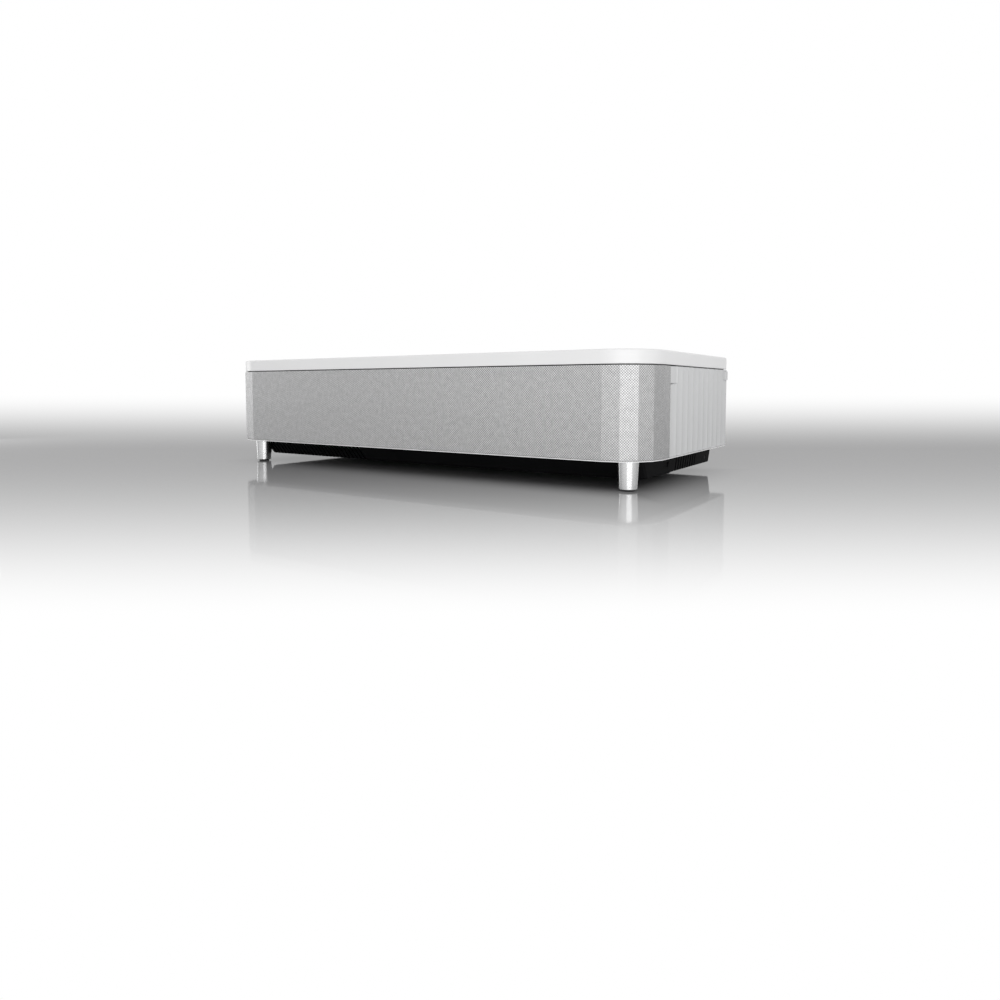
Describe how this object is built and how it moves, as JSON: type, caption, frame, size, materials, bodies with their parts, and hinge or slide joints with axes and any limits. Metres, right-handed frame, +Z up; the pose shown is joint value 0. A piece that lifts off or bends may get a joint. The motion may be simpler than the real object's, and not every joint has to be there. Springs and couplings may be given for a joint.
{
  "type": "home projector",
  "caption": "Low, wide ultra-short-throw home projector with a fabric front on a faceted frame, fluted side panels, a slab cover with a rear window, two metal legs and rear levelling feet.",
  "frame": {"origin": "on the floor under the middle of the body", "axes": "+X along the width, to the right as seen from the front; the fabric front faces -Y; +Z up"},
  "size_m": [0.6816, 0.3, 0.155],
  "materials": {
    "satin_white": "satin off-white paint on a moulded slab",
    "light_grey_plastic": "satin light grey",
    "grey_weave": "fine diagonal acoustic weave in two greys",
    "black_plastic": "fine-textured black moulding",
    "dark_gloss": "infrared-transparent gloss black",
    "satin_metal": "fine-turned and satin-polished",
    "raw_aluminium": "as cast and milled",
    "rubber_pad": "matte",
    "clear_glass": "coated optical glass",
    "mirror_coat": "front-silvered",
    "circuit_board": "green solder mask with components",
    "copper_tube": "bright copper",
    "cone_paper": "black pulp cone",
    "phosphor": "phosphor ring on an aluminium disc",
    "plated_steel": "zinc plated",
    "black_steel": "black oxide",
    "brass": "machined"
  },
  "bodies": {
    "projector": {"top_cover": "satin_white", "window_bezel": "black_plastic", "window_glass": "clear_glass", "sensor_window_left": "dark_gloss", "sensor_window_right": "dark_gloss", "mid_frame": "black_plastic", "grille_frame": "black_plastic", "grille_fabric": "grey_weave", "bottom_trim": "light_grey_plastic", "rear_panel": "black_plastic", "io_plate": "black_plastic", "base_tub": "black_plastic", "lan_port": "plated_steel", "usb_port": "plated_steel", "hdmi_port_1": "plated_steel", "hdmi_port_2": "plated_steel", "hdmi_port_3": "plated_steel", "ac_inlet": "black_plastic", "main_board": "circuit_board", "power_board": "circuit_board", "optical_engine": "raw_aluminium", "laser_module": "raw_aluminium", "wheel_motor": "plated_steel", "lens_barrel": "black_plastic", "focus_motor": "plated_steel", "curved_mirror": "mirror_coat", "mirror_bracket": "plated_steel", "laser_heatsink": "raw_aluminium", "heat_pipe": "copper_tube", "exhaust_fan_frame": "black_plastic", "heatsink_fan_frame": "black_plastic", "intake_fan_frame": "black_plastic", "side_panel_left": "light_grey_plastic", "front_leg_left": "satin_metal", "front_leg_pad_left": "rubber_pad", "side_screw_left": "black_steel", "speaker_box_left": "black_plastic", "side_panel_right": "light_grey_plastic", "front_leg_right": "satin_metal", "front_leg_pad_right": "rubber_pad", "side_screw_right": "black_steel", "speaker_box_right": "black_plastic"},
    "power_button_body": {"power_button": "light_grey_plastic"},
    "front_catch_body_left": {"front_catch_left": "light_grey_plastic"},
    "rear_catch_body_left": {"rear_catch_left": "light_grey_plastic"},
    "cone_body_left": {"speaker_cone_left": "cone_paper"},
    "foot_pad_body_left": {"rear_foot_pad_left": "rubber_pad"},
    "foot_stud_body_left": {"rear_foot_stud_left": "plated_steel"},
    "front_catch_body_right": {"front_catch_right": "light_grey_plastic"},
    "rear_catch_body_right": {"rear_catch_right": "light_grey_plastic"},
    "cone_body_right": {"speaker_cone_right": "cone_paper"},
    "foot_pad_body_right": {"rear_foot_pad_right": "rubber_pad"},
    "foot_stud_body_right": {"rear_foot_stud_right": "plated_steel"},
    "exhaust_fan_spinner": {"exhaust_fan_rotor": "black_plastic"},
    "heatsink_fan_spinner": {"heatsink_fan_rotor": "black_plastic"},
    "intake_fan_spinner": {"intake_fan_rotor": "black_plastic"},
    "wheel_body": {"phosphor_wheel": "phosphor"},
    "ring_body": {"focus_ring": "black_plastic"},
    "pinion_body": {"focus_pinion": "brass"},
    "lens_body": {"focus_lens_group": "clear_glass"}
  },
  "joints": [
    {"name": "power_button_press", "type": "slide", "parent": "projector", "child": "power_button_body", "axis": [0, 0, -1], "range_m": [0, 0.0012], "stiffness_N_per_m": 900},
    {"name": "front_catch_press_left", "type": "slide", "parent": "projector", "child": "front_catch_body_left", "axis": [1, 0, 0], "range_m": [0, 0.0015], "stiffness_N_per_m": 1200},
    {"name": "rear_catch_press_left", "type": "slide", "parent": "projector", "child": "rear_catch_body_left", "axis": [1, 0, 0], "range_m": [0, 0.0015], "stiffness_N_per_m": 1200},
    {"name": "speaker_cone_travel_left", "type": "slide", "parent": "projector", "child": "cone_body_left", "axis": [0, -1, 0], "range_m": [-0.0015, 0.0015], "stiffness_N_per_m": 1500},
    {"name": "front_catch_press_right", "type": "slide", "parent": "projector", "child": "front_catch_body_right", "axis": [-1, 0, 0], "range_m": [0, 0.0015], "stiffness_N_per_m": 1200},
    {"name": "rear_catch_press_right", "type": "slide", "parent": "projector", "child": "rear_catch_body_right", "axis": [-1, 0, 0], "range_m": [0, 0.0015], "stiffness_N_per_m": 1200},
    {"name": "speaker_cone_travel_right", "type": "slide", "parent": "projector", "child": "cone_body_right", "axis": [0, -1, 0], "range_m": [-0.0015, 0.0015], "stiffness_N_per_m": 1500},
    {"name": "rear_foot_height_left", "type": "slide", "parent": "projector", "child": "foot_pad_body_left", "axis": [0, 0, 1], "range_m": [0, 0.004]},
    {"name": "rear_foot_turn_left", "type": "hinge", "parent": "foot_pad_body_left", "child": "foot_stud_body_left", "pos_m": [-0.2583, 0.115, 0], "axis": [0, 0, 1], "range_deg": [0, 1152]},
    {"name": "rear_foot_height_right", "type": "slide", "parent": "projector", "child": "foot_pad_body_right", "axis": [0, 0, 1], "range_m": [0, 0.004]},
    {"name": "rear_foot_turn_right", "type": "hinge", "parent": "foot_pad_body_right", "child": "foot_stud_body_right", "pos_m": [0.2583, 0.115, 0], "axis": [0, 0, 1], "range_deg": [0, 1152]},
    {"name": "exhaust_fan_spin", "type": "hinge", "parent": "projector", "child": "exhaust_fan_spinner", "pos_m": [0.272, 0.1245, 0.086], "axis": [0, 1, 0], "continuous": true},
    {"name": "heatsink_fan_spin", "type": "hinge", "parent": "projector", "child": "heatsink_fan_spinner", "pos_m": [0.272, -0.0445, 0.086], "axis": [0, 1, 0], "continuous": true},
    {"name": "intake_fan_spin", "type": "hinge", "parent": "projector", "child": "intake_fan_spinner", "pos_m": [-0.3145, 0.04, 0.086], "axis": [1, 0, 0], "continuous": true},
    {"name": "phosphor_wheel_spin", "type": "hinge", "parent": "projector", "child": "wheel_body", "pos_m": [0.128, 0.112, 0.064], "axis": [1, 0, 0], "continuous": true},
    {"name": "focus_ring_turn", "type": "hinge", "parent": "projector", "child": "ring_body", "pos_m": [0, 0.052, 0.088], "axis": [0, 1, 0], "range_deg": [-25, 25]},
    {"name": "focus_pinion_turn", "type": "hinge", "parent": "projector", "child": "pinion_body", "pos_m": [-0.04025, 0.053, 0.088], "axis": [0, 1, 0], "range_deg": [-90, 90]},
    {"name": "focus_lens_travel", "type": "slide", "parent": "projector", "child": "lens_body", "axis": [0, -1, 0], "range_m": [-0.002, 0.002]}
  ],
  "couplings": [
    {"joint": "focus_pinion_turn", "follows": "focus_ring_turn", "ratio": -3.5714},
    {"joint": "focus_lens_travel", "follows": "focus_ring_turn", "m_per_rad": 0.0045791},
    {"joint": "rear_foot_turn_left", "follows": "rear_foot_height_left", "rad_per_m": 5026},
    {"joint": "rear_foot_turn_right", "follows": "rear_foot_height_right", "rad_per_m": 5026}
  ]
}
